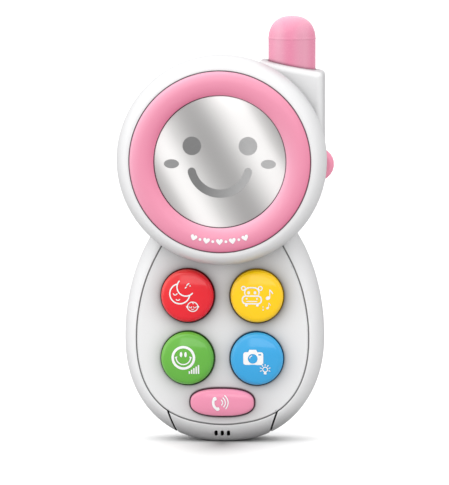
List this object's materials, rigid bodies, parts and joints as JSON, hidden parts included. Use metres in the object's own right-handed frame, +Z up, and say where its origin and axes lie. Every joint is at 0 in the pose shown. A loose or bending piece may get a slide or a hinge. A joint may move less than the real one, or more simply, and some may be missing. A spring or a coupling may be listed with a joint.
{
  "type": "toy cell phone",
  "caption": "Toy slider phone in white plastic: mirror disc cover that slides down over four round colour keys and an oval call key, stub antenna, thumb wheel, battery door on the back.",
  "frame": {"origin": "middle of the small flat foot under the chin, on the parting plane of the two case halves", "axes": "+Z up the phone to the antenna, -Y out of the keypad and mirror, +Y out of the back, +X to the antenna side as seen from the front"},
  "size_m": [0.0813, 0.0416, 0.1613],
  "materials": {
    "white_abs": "glossy moulded white",
    "pink_abs": "glossy moulded pink",
    "pink_silicone": "soft glossy pink",
    "red_abs": "glossy moulded red",
    "yellow_abs": "glossy moulded yellow",
    "green_abs": "glossy moulded green",
    "blue_abs": "glossy moulded blue",
    "mirror_film": "safety mirror",
    "grey_silicone": "matt",
    "board_green": "solder mask",
    "black_epoxy": "potting blob",
    "zinc_steel": "zinc plated",
    "speaker_paper": "paper cone",
    "cell_jacket": "printed jacket",
    "lamp_epoxy": "clear water-white",
    "wire_red": "insulation",
    "wire_black": "insulation",
    "wire_blue": "insulation",
    "switch_black": "moulded"
  },
  "bodies": {
    "case": {"front_shell": "white_abs", "rear_shell": "white_abs", "left_side_grip": "white_abs", "right_side_grip": "white_abs", "slide_shoe": "white_abs", "antenna": "pink_silicone", "keypad_mat": "grey_silicone", "main_board": "board_green", "lamp_board": "board_green", "sound_chip": "black_epoxy", "antenna_lamp": "lamp_epoxy", "case_screw_1": "zinc_steel", "case_screw_2": "zinc_steel", "case_screw_3": "zinc_steel", "case_screw_4": "zinc_steel", "case_screw_5": "zinc_steel", "case_screw_6": "zinc_steel", "board_screw_1": "zinc_steel", "board_screw_2": "zinc_steel", "board_screw_3": "zinc_steel", "shoe_screw_1": "zinc_steel", "battery_1": "cell_jacket", "battery_spring_1": "zinc_steel", "contact_plate_1": "zinc_steel", "switch_wire_1": "wire_blue", "shoe_screw_2": "zinc_steel", "battery_2": "cell_jacket", "battery_spring_2": "zinc_steel", "contact_plate_2": "zinc_steel", "switch_wire_2": "wire_blue", "contact_plate_top": "zinc_steel", "speaker_frame": "zinc_steel", "speaker_magnet": "zinc_steel", "speaker_cone": "speaker_paper", "wheel_axle": "zinc_steel", "switch_body": "switch_black", "speaker_wire_red": "wire_red", "speaker_wire_black": "wire_black", "lamp_wire_red": "wire_red", "lamp_wire_black": "wire_black", "battery_wire_red": "wire_red", "battery_wire_black": "wire_black"},
    "cover": {"slide_base": "white_abs", "disc_housing": "white_abs", "bezel_ring": "pink_abs", "mirror": "mirror_film", "base_screw_1": "zinc_steel", "base_screw_2": "zinc_steel", "base_screw_3": "zinc_steel", "base_screw_4": "zinc_steel"},
    "red_key": {"red_button": "red_abs"},
    "yellow_key": {"yellow_button": "yellow_abs"},
    "green_key": {"green_button": "green_abs"},
    "blue_key": {"blue_button": "blue_abs"},
    "call_key": {"call_button": "pink_abs"},
    "wheel": {"side_wheel": "pink_abs"},
    "switch": {"switch_knob": "switch_black"},
    "door": {"battery_door": "white_abs", "door_screw_1": "zinc_steel", "door_screw_2": "zinc_steel"}
  },
  "joints": [
    {"name": "cover_slide", "type": "slide", "parent": "case", "child": "cover", "axis": [0, 0, -1], "range_m": [0, 0.046]},
    {"name": "red_press", "type": "slide", "parent": "case", "child": "red_key", "axis": [0, 1, 0], "range_m": [0, 0.0016], "stiffness_N_per_m": 250},
    {"name": "yellow_press", "type": "slide", "parent": "case", "child": "yellow_key", "axis": [0, 1, 0], "range_m": [0, 0.0016], "stiffness_N_per_m": 250},
    {"name": "green_press", "type": "slide", "parent": "case", "child": "green_key", "axis": [0, 1, 0], "range_m": [0, 0.0016], "stiffness_N_per_m": 250},
    {"name": "blue_press", "type": "slide", "parent": "case", "child": "blue_key", "axis": [0, 1, 0], "range_m": [0, 0.0016], "stiffness_N_per_m": 250},
    {"name": "call_press", "type": "slide", "parent": "case", "child": "call_key", "axis": [0, 1, 0], "range_m": [0, 0.0016], "stiffness_N_per_m": 250},
    {"name": "wheel_spin", "type": "hinge", "parent": "case", "child": "wheel", "pos_m": [0.0351, 0, 0.105], "axis": [0, 1, 0], "continuous": true},
    {"name": "power_switch", "type": "slide", "parent": "case", "child": "switch", "axis": [1, 0, 0], "range_m": [0, 0.0036]},
    {"name": "battery_door_off", "type": "slide", "parent": "case", "child": "door", "axis": [0, 1, 0], "range_m": [0, 0.02]}
  ]
}
